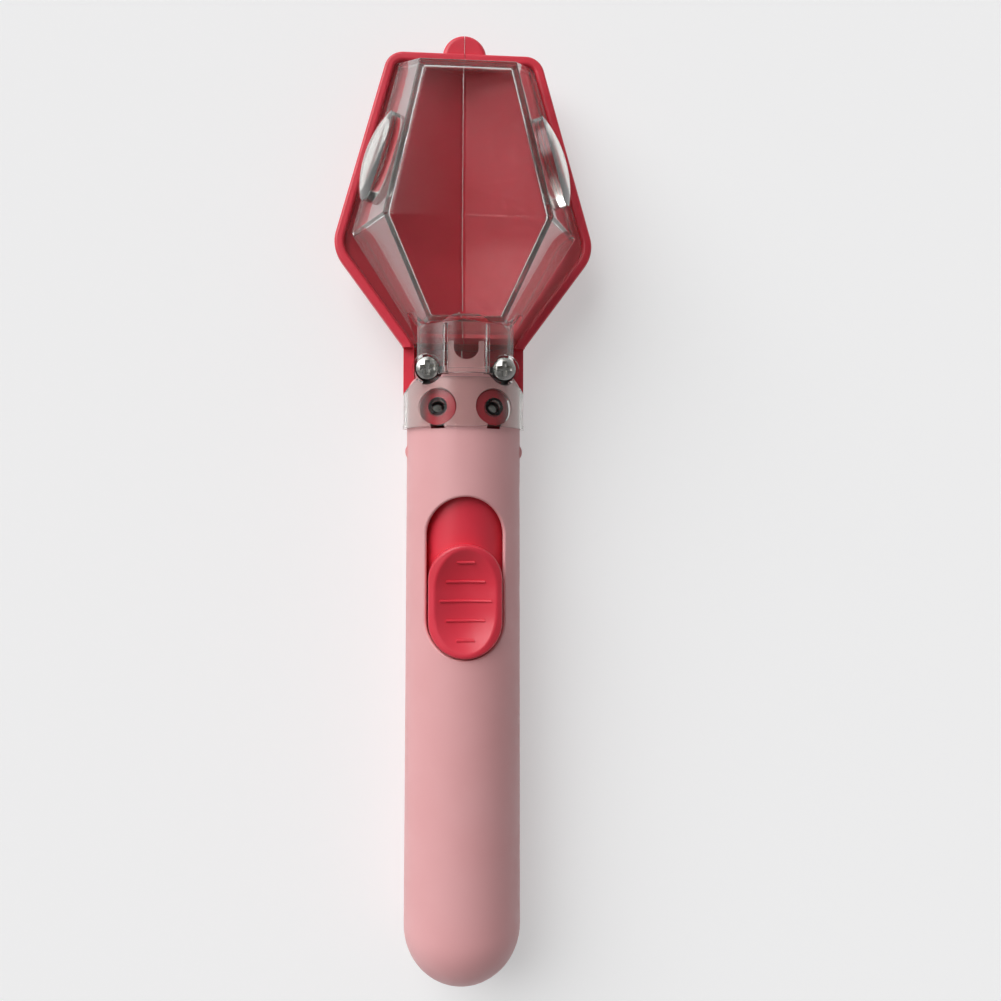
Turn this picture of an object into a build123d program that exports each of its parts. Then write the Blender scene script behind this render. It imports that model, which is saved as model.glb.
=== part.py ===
from build123d import *
from math import cos, pi, radians, sin, sqrt
import os

os.makedirs("parts", exist_ok=True)

# Insect catcher: a round handle with a thumb slider, a clear faceted chamber over the head,
# and two dished doors under it that swing sideways on upright pivots.
# X is across, Y runs along the handle towards the head, Z is up. The back of the handle lies on z = 0.
# All sizes are in millimetres.

# Handle
handle_tail_y = -123.9
handle_rear_radius = 15.15
handle_neck_radius = 14.8
handle_taper_start_y = 6.1
handle_end_trim = 0.3
handle_wall = 1.6
axis_height = 13.75
parting_gap = 0.15
top_front_y = 32.3
top_front_corner = 4.0
bottom_front_y = 22.6
side_nub_y = 13.6
side_nub_length = 5.0
side_nub_proud = 0.4
side_nub_height = 2.4

# Head outline, seen from above
tip_y = 118.4
tip_half = 19.9
tip_corner = 5.0
wide_y = 66.5
wide_half = 34.6
wide_corner = 9.0
neck_y = 40.9
neck_half = 15.8
neck_corner = 3.0
tab_radius = 5.8
tab_top_y = 123.9
tab_low = 2.2
tab_thick = 2.8
tab_round = 1.2

# Heights over the handle axis
rim_top = 1.85
flange_thick = 1.7
slide_under = 0.35

# Doors
door_wall = 2.5
floor_thick = 1.6
tray_depth = 11.0
tray_deep_y = 68.6
tray_round = 30.0
seam_gap = 0.16
seam_chamfer = 0.6
rim_round = 0.8
neck_floor_z = 0.3
neck_rear_y = 28.6
neck_front_y = 42.1
neck_wall = 1.6
neck_side_wall = 2.8

# Door pivots
pivot_half = 6.95
pivot_y = 24.3
opening_angle = 38.0
boss_radius = 7.6
boss_top = -8.4
boss_clearance = 0.4
thrust_gap = 0.15
web_thick = 1.65
web_side_half = 13.0
web_front_y = 34.1
hub_radius = 4.35
post_radius = 2.25
post_running_gap = 0.08
bush_radius = 4.4
bush_low = 1.7
bush_top_radius = 12.4
window_radius = 4.6
window_notch_width = 3.4
window_notch_reach = 0.9

# Door tails, drive pins and spring
tail_reach = 8.0
tail_angle = 24.75
tail_half_width = 2.4
tail_low = -6.5
tail_high = -1.7
tail_end_radius = 2.9
tail_shell_gap = 0.4
pin_radius = 1.2
pin_low = -4.6
pin_top = 1.2
spring_y = 16.0
spring_radius = 1.65
spring_wire_radius = 0.25
spring_turns = 8
spring_seat_half = 7.75
spring_seat_radius = 2.15
spring_seat_gap = 0.05

# Slider
slider_travel = 11.5
slot_half_width = 9.6
slot_front_y = 1.75
slot_round = 0.5
button_length = 28.3
button_gap = 0.35
button_top = 16.2
button_crown_radius = 20.0
button_oval_share = 0.98
button_round = 0.8
dish_depth = 3.2
dish_radius = 18.7
dish_half_straight = 2.4
dish_round = 1.0
grip_bar_lengths = (4.5, 9.7, 12.9, 9.7, 4.5)
grip_bar_pitch = 4.85
grip_bar_radius = 0.36
skirt_thick = 0.7
skirt_gap = 0.9
skirt_half_width = 10.8
skirt_front_lap = 2.0
skirt_rear_lap = 1.5
skirt_post_radius = 3.0
skirt_post_ys = (-14.9, -32.9)

# Slider carriage
carriage_half_thick = 1.4
carriage_gap = 0.1
spine_half_width = 9.4
spine_rear_y = -37.9
yoke_rear_y = -2.9
yoke_front_y = 18.3
yoke_half_width = 12.95
yoke_mouth_rear_y = 3.1
cam_gap = 0.1
cam_points = 9
rail_half = 8.0
rail_width = 1.4
rail_rear_y = -49.9
rail_front_y = 7.1
rail_root = 11.0

# Clear chamber
chamber_wall = 1.8
groove_width = 0.35
tip_groove_width = 0.7
foot_tip_ledge = 2.9
foot_tip_y = 115.2
foot_wide_ledge = 5.3
foot_wide_y = 70.1
foot_neck_half = 16.0
foot_neck_y = 49.1
ridge_inward = 9.0
ridge_y = 68.6
ridge_height = 26.0
tip_lean = 21.0
tip_roof_height = 20.2
tip_roof_y = 106.7
neck_roof_height = 14.0
neck_roof_y = 44.2
neck_lean = 4.0
dome_round = 0.5
dome_inner_round = 1.2
lens_half_length = 11.5
lens_half_height = 9.0
lens_y = 86.1
lens_share = 0.5
lens_gap = 0.05
lens_proud = 1.9
lens_seat_depth = 0.5
lens_bulge = 2.3

# Clear neck cover
cover_inner_radius = 14.85
cover_thick = 0.85
cover_edge_half = 12.2
cover_front_y = 44.4
cover_rear_y = 32.5
shoulder_y = 48.6
shoulder_half = 14.9
shoulder_height = 7.5
waist_y = 41.1
skirt_wall_rear_y = 37.3
collar_rear_y = 19.4
collar_front_y = 28.6
collar_chamfer_y = 31.5
collar_bead = 0.2
collar_bead_width = 1.0
ear_x = 9.63
ear_y = 33.8
ear_radius = 3.8
ear_low = 10.2
ear_top = 12.4
rib_x = 5.2
rib_width = 1.0
rib_top = 16.9
rib_low = 13.2
lip_width = 1.0
lip_proud = 1.1

# Tongue and bulkhead of the top shell
tongue_half = 4.4
tongue_front_y = 40.5
tongue_radius = 14.6
tongue_notch_radius = 3.1
tongue_notch_depth = 4.6
screw_boss_radius = 3.1
screw_boss_low = 2.0
bulkhead_y = 33.8
bulkhead_half = 10.0
bulkhead_low = -6.2
bulkhead_radius = 12.7

# Fasteners
pan_head_radius = 2.8
pan_head_height = 1.9
pan_head_edge_share = 0.45
cross_length_share = 0.7
cross_width_share = 0.26
cross_depth_share = 0.85
cross_taper = 14.0
chamber_screw_radius = 1.2
chamber_screw_reach = 6.5
pivot_screw_radius = 1.1
pivot_screw_tip = 6.3
pivot_head_radius = 2.3
pivot_head_height = 1.4
post_mouth_radius = 1.55
washer_radius = 2.6
washer_thick = 0.5
pivot_recess_radius = 2.75
pivot_recess_depth = 4.0
shell_screw_tail_gaps = (63.0, 21.0)
shell_screw_radius = 1.2
shell_screw_reach = 9.0
shell_boss_radius = 3.4
shell_recess_depth = 6.0
shell_recess_radius = 2.7
shell_head_radius = 2.4
shell_head_height = 1.6
carriage_screw_radius = 0.9
carriage_screw_reach = 6.0
carriage_head_radius = 1.9
carriage_head_height = 1.2
hole_gap = 0.15

# Derived places
foot_tip_half = tip_half - foot_tip_ledge
foot_wide_half = wide_half - foot_wide_ledge
ridge_half = foot_wide_half - ridge_inward
beyond = 4 * handle_rear_radius
end_centre_y = handle_tail_y - handle_end_trim + handle_rear_radius
handle_axis = Axis((0, 0, axis_height), (0, 1, 0))
rim_z = axis_height + rim_top
flange_z = axis_height + rim_top - flange_thick - slide_under / 2
tray_z = flange_z - slide_under
boss_z = axis_height + boss_top
web_z = boss_z + thrust_gap
button_half = slot_half_width - button_gap
slot_length = button_length + slider_travel + 2 * button_gap
slot_centre_y = slot_front_y - slot_length / 2
button_rear_y = slot_front_y - slot_length + button_gap
button_centre_y = button_rear_y + button_length / 2
skirt_outer_radius = handle_neck_radius - handle_wall - skirt_gap
skirt_inner_radius = skirt_outer_radius - skirt_thick


def across(y):
    """Plane square to the handle axis at y, with its own y pointing up."""
    return Plane(origin=(0, y, axis_height), x_dir=(1, 0, 0), z_dir=(0, -1, 0))


def write(builder, name):
    """Label one finished piece and write it to its own file."""
    builder.part.label = name
    export_step(builder.part, "parts/" + name + ".step")
    solids = builder.part.solids()
    print(name, len(solids), "solid(s)", round(sum(s.volume for s in solids), 1), "mm3")


def round_bar(radius, y_front, y_rear, centre_height=0):
    """Cylinder along the handle between two places, about the handle's axis or over it."""
    with BuildPart() as bar:
        with BuildSketch(across(y_front)):
            with Locations((0, centre_height)):
                Circle(radius)
        extrude(amount=y_front - y_rear)
    return bar.part


def lies_outside(edge):
    """Whether both ends of an edge lie on the handle's outer face."""
    reaches = [Vector(end.X, 0, end.Z - axis_height).length for end in (edge @ 0, edge @ 1)]
    return min(reaches) > handle_neck_radius - handle_wall / 2


def handle_form(inset, front_y):
    """The handle's round form with its spherical end, drawn in by a wall."""
    rear = handle_rear_radius - inset
    neck = handle_neck_radius - inset
    with BuildPart() as form:
        with BuildSketch(Plane.XY.offset(axis_height)):
            with BuildLine():
                Polyline((0, front_y), (neck, front_y), (neck, handle_taper_start_y), (rear, end_centre_y))
                CenterArc((0, end_centre_y), rear, 0, -90)
                Line((0, end_centre_y - rear), (0, front_y))
            make_face()
        revolve(axis=handle_axis)
        split(bisect_by=Plane.XY.offset(inset), keep=Keep.TOP)
        split(bisect_by=Plane.XZ.offset(-handle_tail_y - inset), keep=Keep.BOTTOM)
    return form.part


def head_outline(inset):
    """Outline of the head with its neck, seen from above, drawn in by inset."""
    with BuildSketch() as outline:
        with BuildLine():
            tip = [(0, tip_y), (tip_half, tip_y)]
            sides = [(wide_half, wide_y), (neck_half, neck_y)]
            rear = [(neck_half, neck_rear_y), (0, neck_rear_y)]
            FilletPolyline(*tip, *sides, *rear, radius=(tip_corner, wide_corner, neck_corner, 0))
            mirror(about=Plane.YZ)
        make_face()
        if inset:
            offset(amount=-inset, kind=Kind.INTERSECTION)
    return outline.sketch


def flange_outline():
    """Outline of the chamber's base flange, inside the doors' rims."""
    front_y = tip_y - door_wall - tip_groove_width
    with BuildSketch() as outline:
        add(head_outline(door_wall + groove_width))
        with Locations((0, front_y - beyond)):
            Rectangle(4 * beyond, 2 * beyond, mode=Mode.INTERSECT)
    return outline.sketch


def side_points(height_pairs):
    """Points of one side facet, given as (half width, y, height over the handle axis)."""
    return [Vector(half, y, axis_height + height) for half, y, height in height_pairs]


def outward_plane(points, inside):
    """Plane through three points whose normal points away from a point inside."""
    normal = (points[1] - points[0]).cross(points[2] - points[0]).normalized()
    if normal.dot(inside - points[0]) > 0:
        normal = -normal
    return Plane(origin=points[0], z_dir=normal)


def leaning_plane(y, lean, forward):
    """Plane across the chamber at y on the flange, leaning inwards by an angle."""
    way = 1 if forward else -1
    normal = Vector(0, way * cos(radians(lean)), sin(radians(lean)))
    return Plane(origin=(0, y, axis_height + rim_top), z_dir=normal)


def dome_facets():
    """The outer planes of the faceted dome."""
    inside = Vector(0, ridge_y, axis_height + ridge_height / 2)
    facets = [leaning_plane(foot_tip_y, tip_lean, True), leaning_plane(cover_front_y, neck_lean, False)]
    for side in (-1, 1):
        upper = side_points([
            (side * foot_tip_half, foot_tip_y, rim_top),
            (side * foot_wide_half, foot_wide_y, rim_top),
            (side * ridge_half, ridge_y, ridge_height),
        ])
        lower = side_points([
            (side * foot_wide_half, foot_wide_y, rim_top),
            (side * foot_neck_half, foot_neck_y, rim_top),
            (side * ridge_half, ridge_y, ridge_height),
        ])
        facets += [outward_plane(upper, inside), outward_plane(lower, inside)]
    for y, height in ((tip_roof_y, tip_roof_height), (neck_roof_y, neck_roof_height)):
        roof = side_points([
            (-ridge_half, ridge_y, ridge_height),
            (ridge_half, ridge_y, ridge_height),
            (0, y, height),
        ])
        facets.append(outward_plane(roof, inside))
    return facets


def dome_form(inset, low_z, edge_round):
    """The dome as a solid, its facets drawn in by a wall, standing on a height."""
    with BuildPart() as form:
        with BuildSketch(Plane.XY.offset(low_z)):
            add(flange_outline())
        extrude(amount=axis_height + ridge_height - low_z + chamber_wall)
        for facet in dome_facets():
            split(bisect_by=facet.offset(-inset), keep=Keep.BOTTOM)
        ridge = form.edges().sort_by(Axis.Z)[-1]
        fillet(form.edges().filter_by(lambda edge: edge.bounding_box().max.Z > rim_z) - [ridge], edge_round)
    return form.part


def spring_path():
    """The coil's centre line, quarter turn by quarter turn, as pairs of tangent arcs."""
    lead = 2 * spring_seat_half - 2 * spring_seat_gap - 2 * spring_wire_radius
    start_x = -lead / 2
    steps = 4 * spring_turns
    climb = lead / steps / (pi / 2)

    def place(angle):
        return Vector(start_x + climb * angle, spring_y + spring_radius * cos(angle),
                      spring_axis_z + spring_radius * sin(angle))

    def heading(angle):
        return Vector(climb, -spring_radius * sin(angle), spring_radius * cos(angle)).normalized()

    arcs = []
    for step in range(steps):
        a, b = step * pi / 2, (step + 1) * pi / 2
        p, q, t, u = place(a), place(b), heading(a), heading(b)
        v = q - p
        along = v.dot(t + u)
        spread = 2 * (1 - t.dot(u))
        reach = (-along + sqrt(along * along + spread * v.dot(v))) / spread
        middle = (p + q + (t - u) * reach) * 0.5
        turn = ((q - u * reach) - (p + t * reach)).normalized()
        arcs += [(p, middle, t), (middle, q, turn)]
    print("spring gap between turns", round(lead / spring_turns - 2 * spring_wire_radius, 2), "mm")
    return arcs


def cam_face():
    """Left cam face of the slider yoke, from closed to open, in the slider's place at rest."""
    turn = radians(opening_angle)
    lift = pin_radius + cam_gap
    points = []
    for step in range(cam_points):
        share = step / (cam_points - 1)
        angle = radians(tail_angle) - share * turn
        run = Vector(tail_reach * turn * cos(angle), -tail_reach * turn * sin(angle) - slider_travel)
        out = Vector(run.Y, -run.X).normalized() * lift
        points.append((
            out.X - pivot_half - tail_reach * sin(angle),
            out.Y + pivot_y - tail_reach * cos(angle) - share * slider_travel,
        ))
    return points


# Shared solids
handle_outside = handle_form(0, top_front_y)
handle_inside = handle_form(handle_wall, top_front_y + beyond)
dome_outside = dome_form(0, flange_z, dome_round)
dome_inside = dome_form(chamber_wall, flange_z - chamber_wall, dome_inner_round)
tail_z = axis_height + (tail_low + tail_high) / 2
spring_axis_z = tail_z
closed_pin_x = -pivot_half - tail_reach * sin(radians(tail_angle))
closed_pin_y = pivot_y - tail_reach * cos(radians(tail_angle))
ear_spots = [(-ear_x, ear_y), (ear_x, ear_y)]
pivot_spots = [(-pivot_half, pivot_y), (pivot_half, pivot_y)]
shell_screw_spots = [(0, handle_tail_y + gap) for gap in shell_screw_tail_gaps]
carriage_screw_spots = [(0, y) for y in skirt_post_ys]


# Top shell: pink front half of the handle
with BuildPart() as top_shell:
    add(handle_outside)
    split(bisect_by=Plane.XY.offset(axis_height + parting_gap / 2), keep=Keep.TOP)
    add(handle_inside, mode=Mode.SUBTRACT)
    # Thumb slot
    with BuildSketch(Plane.XY.offset(axis_height)):
        with Locations((0, slot_centre_y)):
            SlotOverall(slot_length, 2 * slot_half_width, rotation=90)
    extrude(amount=beyond, mode=Mode.SUBTRACT)
    slot_edges = top_shell.edges().filter_by_position(Axis.Y, slot_front_y - slot_length, slot_front_y)
    slot_edges = slot_edges.filter_by_position(Axis.X, -slot_half_width, slot_half_width)
    fillet(slot_edges.filter_by(lies_outside), slot_round)
    # Rounded front corners of the neck, seen from above
    with BuildSketch(Plane.XY.offset(axis_height)):
        with Locations((0, top_front_y)):
            Rectangle(4 * top_front_corner + 2 * handle_neck_radius, 4 * top_front_corner)
        with Locations((0, top_front_y - 2 * top_front_corner)):
            RectangleRounded(
                2 * handle_neck_radius, 4 * top_front_corner, top_front_corner, mode=Mode.SUBTRACT,
            )
    extrude(amount=beyond, mode=Mode.SUBTRACT)
    # Tongue under the clear saddle, with its round notch
    with BuildSketch(across(tongue_front_y)):
        Circle(tongue_radius)
        Circle(tongue_radius - handle_wall, mode=Mode.SUBTRACT)
        with Locations((0, handle_neck_radius / 2)):
            Rectangle(2 * tongue_half, handle_neck_radius + handle_wall, mode=Mode.INTERSECT)
    extrude(amount=tongue_front_y - top_front_y + handle_wall)
    with BuildSketch(Plane.XY.offset(axis_height)):
        with Locations((0, tongue_front_y)):
            SlotOverall(2 * tongue_notch_depth, 2 * tongue_notch_radius, rotation=90)
    extrude(amount=beyond, mode=Mode.SUBTRACT)
    # Bulkhead between the chamber and the works
    with BuildSketch(across(bulkhead_y + handle_wall / 2)):
        Circle(bulkhead_radius)
        with Locations((0, (bulkhead_low + bulkhead_radius) / 2)):
            Rectangle(2 * bulkhead_half, bulkhead_radius - bulkhead_low, mode=Mode.INTERSECT)
    extrude(amount=handle_wall)
    # Bosses for the chamber screws
    with BuildSketch(Plane.XY.offset(axis_height + screw_boss_low)):
        with Locations(*ear_spots):
            Circle(screw_boss_radius)
    extrude(amount=ear_low - screw_boss_low)
    with BuildSketch(Plane.XY.offset(axis_height + ear_low)):
        with Locations(*ear_spots):
            Circle(ear_radius + hole_gap)
    extrude(amount=beyond, mode=Mode.SUBTRACT)
    with Locations(Plane.XY.offset(axis_height + ear_low)):
        with Locations(*ear_spots):
            Hole(chamber_screw_radius, depth=chamber_screw_reach)
    # Bosses for the shell screws
    with BuildSketch(Plane.XY.offset(axis_height + parting_gap / 2)):
        with Locations(*shell_screw_spots):
            Circle(shell_boss_radius)
    extrude(amount=handle_rear_radius - handle_wall)
    with BuildSketch(Plane.XY.offset(axis_height + parting_gap / 2)):
        with Locations(*shell_screw_spots):
            Circle(shell_screw_radius)
    extrude(amount=shell_screw_reach, mode=Mode.SUBTRACT)
    # Windows for the door turrets, each with its small notch
    with BuildSketch(Plane.XY.offset(axis_height)):
        with Locations(*pivot_spots):
            Circle(window_radius)
        with Locations(*[(x, y - window_radius) for x, y in pivot_spots]):
            Rectangle(window_notch_width, 2 * window_notch_reach)
    extrude(amount=beyond, mode=Mode.SUBTRACT)
    # Small grip nubs beside the parting line
    with BuildSketch(Plane.XY.offset(axis_height + parting_gap / 2)):
        with Locations((0, side_nub_y)):
            SlotOverall(2 * (handle_neck_radius + side_nub_proud), side_nub_length)
            Rectangle(2 * handle_neck_radius - handle_wall, side_nub_length, mode=Mode.SUBTRACT)
    extrude(amount=side_nub_height)
write(top_shell, "top_shell")


# Bottom shell: pink back half of the handle
with BuildPart() as pivot_bosses:
    with BuildSketch():
        with Locations(*pivot_spots):
            Circle(boss_radius)
    extrude(amount=boss_z)
    add(handle_outside, mode=Mode.INTERSECT)

with BuildPart() as bottom_shell:
    add(handle_outside)
    split(bisect_by=Plane.XY.offset(axis_height - parting_gap / 2), keep=Keep.BOTTOM)
    split(bisect_by=Plane.XZ.offset(-bottom_front_y), keep=Keep.TOP)
    add(handle_inside, mode=Mode.SUBTRACT)
    add(pivot_bosses.part)
    with BuildSketch(Plane.XY.offset(boss_z)):
        with Locations(*pivot_spots):
            Circle(window_radius)
    extrude(amount=beyond, mode=Mode.SUBTRACT)
    # Rails for the carriage
    with BuildSketch(Plane.XY.offset(axis_height - rail_root)):
        with Locations((0, (rail_rear_y + rail_front_y) / 2)):
            Rectangle(2 * rail_half + rail_width, rail_front_y - rail_rear_y)
            Rectangle(2 * rail_half - rail_width, rail_front_y - rail_rear_y, mode=Mode.SUBTRACT)
    extrude(amount=rail_root - carriage_half_thick - carriage_gap)
    # Bosses for the shell screws
    with BuildSketch():
        with Locations(*shell_screw_spots):
            Circle(shell_boss_radius)
    extrude(amount=axis_height + parting_gap / 2)
    with BuildSketch():
        with Locations(*shell_screw_spots):
            Circle(shell_screw_radius + hole_gap)
    extrude(amount=axis_height + parting_gap, mode=Mode.SUBTRACT)
    with BuildSketch():
        with Locations(*shell_screw_spots):
            Circle(shell_recess_radius)
    extrude(amount=shell_recess_depth, mode=Mode.SUBTRACT)
    # Screw recesses and holes under the pivots
    with BuildSketch():
        with Locations(*pivot_spots):
            Circle(pivot_screw_radius + hole_gap)
    extrude(amount=boss_z + boss_clearance, mode=Mode.SUBTRACT)
    with BuildSketch():
        with Locations(*pivot_spots):
            Circle(pivot_recess_radius)
    extrude(amount=pivot_recess_depth, mode=Mode.SUBTRACT)
write(bottom_shell, "bottom_shell")


# Viewing chamber: clear dome, flange, neck cover, collar and pivot posts in one moulding
def lens_plane(side):
    """Plane of an upper side facet at the middle of its lens."""
    facet = outward_plane(
        side_points([
            (side * foot_tip_half, foot_tip_y, rim_top),
            (side * foot_wide_half, foot_wide_y, rim_top),
            (side * ridge_half, ridge_y, ridge_height),
        ]),
        Vector(0, ridge_y, axis_height + ridge_height / 2),
    )
    fall = (ridge_height - tip_roof_height) / (tip_roof_y - ridge_y)
    roof = ridge_height - fall * (lens_y - ridge_y)
    level = Vector(0, lens_y, axis_height + rim_top + (roof - rim_top) * lens_share)
    outwards = Vector(side, 0, 0)
    run = (facet.origin - level).dot(facet.z_dir) / outwards.dot(facet.z_dir)
    along = facet.z_dir.cross(Vector(0, 0, 1))
    return Plane(origin=level + outwards * run, x_dir=along, z_dir=facet.z_dir)


lens_planes = [lens_plane(-1), lens_plane(1)]
cover_radius = cover_inner_radius + cover_thick
cover_edge_height = sqrt(cover_radius ** 2 - cover_edge_half ** 2)
roof_run = (ridge_y - neck_roof_y) / (ridge_height - neck_roof_height)
saddle_front_y = neck_roof_y + (cover_radius - neck_roof_height) * roof_run

with BuildPart() as collar:
    with BuildSketch(across(collar_chamfer_y)):
        Circle(cover_radius)
        Circle(cover_inner_radius, mode=Mode.SUBTRACT)
        with Locations((0, cover_radius)):
            Rectangle(beyond, 2 * cover_radius, mode=Mode.INTERSECT)
    extrude(amount=collar_chamfer_y - collar_rear_y)
    with BuildSketch(across(collar_rear_y + collar_bead_width)):
        Circle(cover_radius + collar_bead)
        Circle(cover_inner_radius, mode=Mode.SUBTRACT)
        with Locations((0, cover_radius)):
            Rectangle(beyond, 2 * cover_radius, mode=Mode.INTERSECT)
    extrude(amount=collar_bead_width)
    with BuildSketch(Plane.XY.offset(axis_height)):
        for side in (-1, 1):
            Polygon(
                (side * cover_edge_half, collar_chamfer_y),
                (side * beyond, collar_chamfer_y),
                (side * beyond, collar_front_y),
                (side * cover_radius, collar_front_y),
                align=None,
            )
    extrude(amount=cover_radius, mode=Mode.SUBTRACT)

with BuildPart() as pivot_posts:
    with BuildSketch(Plane.XY.offset(boss_z)):
        with Locations(*pivot_spots):
            Circle(post_radius)
    extrude(amount=beyond)
    add(round_bar(cover_radius, top_front_y, collar_rear_y), mode=Mode.INTERSECT)

with BuildPart() as viewing_chamber:
    # Base flange between the doors' rims
    with BuildSketch(Plane.XY.offset(flange_z)):
        add(flange_outline())
        with Locations((0, waist_y + beyond)):
            Rectangle(4 * beyond, 2 * beyond, mode=Mode.INTERSECT)
        with Locations((0, (waist_y + skirt_wall_rear_y) / 2)):
            Rectangle(2 * cover_edge_half, waist_y - skirt_wall_rear_y)
    extrude(amount=flange_thick)
    add(dome_outside)
    # Saddle over the tongue, with its side walls
    with BuildSketch(across(saddle_front_y)):
        Circle(cover_radius)
        Circle(cover_inner_radius, mode=Mode.SUBTRACT)
        with Locations((0, cover_radius)):
            Rectangle(2 * cover_edge_half, 2 * cover_radius, mode=Mode.INTERSECT)
    extrude(amount=saddle_front_y - cover_rear_y)
    with BuildSketch(across(cover_front_y + chamber_wall / 2)):
        with Locations((0, (flange_z - axis_height + cover_edge_height) / 2)):
            Rectangle(2 * cover_edge_half, cover_edge_height + axis_height - flange_z)
            Rectangle(2 * (cover_edge_half - cover_thick), beyond, mode=Mode.SUBTRACT)
    extrude(amount=cover_front_y + chamber_wall / 2 - skirt_wall_rear_y)
    # Shoulders where the side walls flare out to the dome
    with BuildSketch(Plane.XY.offset(flange_z)):
        for side in (-1, 1):
            Polygon(
                (side * (cover_edge_half - cover_thick), waist_y),
                (side * cover_edge_half, waist_y),
                (side * shoulder_half, shoulder_y),
                (side * (cover_edge_half - cover_thick), shoulder_y),
                align=None,
            )
    extrude(amount=shoulder_height)
    # Ribs and rear lip
    with BuildSketch(across(cover_front_y)):
        with Locations((-rib_x, (rib_low + rib_top) / 2), (rib_x, (rib_low + rib_top) / 2)):
            SlotOverall(rib_top - rib_low, rib_width, rotation=90)
    extrude(amount=cover_front_y - cover_rear_y)
    with BuildSketch(across(cover_rear_y + lip_width)):
        Circle(cover_radius + lip_proud)
        Circle(cover_inner_radius, mode=Mode.SUBTRACT)
        with Locations((0, cover_radius)):
            Rectangle(2 * rib_x, 2 * cover_radius, mode=Mode.INTERSECT)
    extrude(amount=lip_width)
    # Ears, with room for the heads of the chamber screws and for the bosses under them
    with BuildSketch(Plane.XY.offset(axis_height + ear_low)):
        with Locations(*ear_spots):
            Circle(ear_radius)
    extrude(amount=ear_top - ear_low)
    add(collar.part)
    add(pivot_posts.part)
    with BuildSketch(Plane.XY.offset(axis_height + ear_top)):
        with Locations(*ear_spots):
            Circle(pan_head_radius + hole_gap)
    extrude(amount=beyond, mode=Mode.SUBTRACT)
    with BuildSketch(Plane.XY.offset(axis_height + ear_low)):
        with Locations(*ear_spots):
            Circle(screw_boss_radius + hole_gap)
    extrude(amount=screw_boss_low - ear_low, mode=Mode.SUBTRACT)
    with BuildSketch(Plane.XY.offset(axis_height + ear_low)):
        with Locations(*ear_spots):
            Circle(chamber_screw_radius)
    extrude(amount=beyond, mode=Mode.SUBTRACT)
    # Inside of the dome, open at the bottom
    add(dome_inside, mode=Mode.SUBTRACT)
    # Bores of the pivot posts
    with BuildSketch(Plane.XY.offset(boss_z)):
        with Locations(*pivot_spots):
            Circle(pivot_screw_radius)
    extrude(amount=beyond, mode=Mode.SUBTRACT)
    with BuildSketch(Plane.XY.offset(axis_height + pivot_screw_tip)):
        with Locations(*pivot_spots):
            Circle(post_mouth_radius)
    extrude(amount=beyond, mode=Mode.SUBTRACT)
    # Oval seats of the lenses
    for plane in lens_planes:
        with BuildSketch(plane.offset(-lens_seat_depth)):
            Ellipse(lens_half_length + lens_gap, lens_half_height + lens_gap)
        extrude(amount=lens_half_length, mode=Mode.SUBTRACT)
write(viewing_chamber, "viewing_chamber")


# Magnifying lenses on the upper side facets
def lens(plane):
    """Oval lens with a flat back in its seat and a domed face."""
    face_radius = (lens_half_length ** 2 + lens_bulge ** 2) / (2 * lens_bulge)
    with BuildPart() as form:
        with BuildSketch(plane.offset(lens_gap - lens_seat_depth)):
            Ellipse(lens_half_length, lens_half_height)
        extrude(amount=lens_half_length)
        with Locations(plane.offset(lens_proud + lens_bulge - face_radius)):
            Sphere(face_radius, mode=Mode.INTERSECT)
    return form


left_lens = lens(lens_planes[0])
right_lens = lens(lens_planes[1])
write(left_lens, "left_lens")
write(right_lens, "right_lens")


# Doors
def floor_planes():
    """Planes of the two floor faces inside the left door's tray, facing down."""
    return [outward_plane([floor_deepest, *corners], floor_above) for corners in floor_corners]


def bevel_planes():
    """Planes of the bevel that runs along the seam, one beside each floor face."""
    planes = []
    for corners in floor_corners:
        start, end = [
            floor_deepest + (corner - floor_deepest) * (seam_bevel_x / corner.X) for corner in corners
        ]
        lower = start + Vector(seam_chamfer, 0, -seam_chamfer)
        planes.append(outward_plane([start, end, lower], floor_above))
    return planes


def tray_room(planes):
    """Space in a tray over its floor planes, inside the rim wall and in front of the neck."""
    with BuildPart() as room:
        with BuildSketch():
            add(head_outline(door_wall))
            with Locations((0, neck_front_y + neck_wall + beyond)):
                Rectangle(4 * beyond, 2 * beyond, mode=Mode.INTERSECT)
        extrude(amount=beyond)
        for plane in planes:
            split(bisect_by=plane, keep=Keep.BOTTOM)
        fillet(room.edges().sort_by_distance(floor_deepest)[0], tray_round)
    return room.part


floor_deepest = Vector(0, tray_deep_y, tray_z - tray_depth)
floor_above = Vector(0, tray_deep_y, tray_z)
floor_wide = Vector(door_wall - wide_half, wide_y, tray_z)
floor_corners = [
    (Vector(door_wall - tip_half, tip_y - door_wall, tray_z), floor_wide),
    (Vector(door_wall - neck_half, neck_y, tray_z), floor_wide),
]
seam_bevel_x = -seam_gap / 2 - seam_chamfer
left_pivot = (-pivot_half, pivot_y)
closed_pin = (closed_pin_x, closed_pin_y)

with BuildPart() as door_web:
    with BuildSketch(Plane.XY.offset(neck_floor_z)):
        with Locations(left_pivot):
            Circle(boss_radius + boss_clearance + neck_wall)
        with Locations((0, neck_rear_y + beyond)):
            Rectangle(4 * beyond, 2 * beyond, mode=Mode.INTERSECT)
    extrude(amount=web_z + web_thick - neck_floor_z)
    with BuildSketch(Plane.XY.offset(web_z)):
        Polygon(
            (0, pivot_y),
            (0, web_front_y),
            (-web_side_half, web_front_y),
            (-web_side_half, neck_rear_y),
            left_pivot,
            align=None,
        )
    extrude(amount=web_thick)
    add(round_bar(neck_half, neck_front_y, pivot_y - hub_radius), mode=Mode.INTERSECT)

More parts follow.
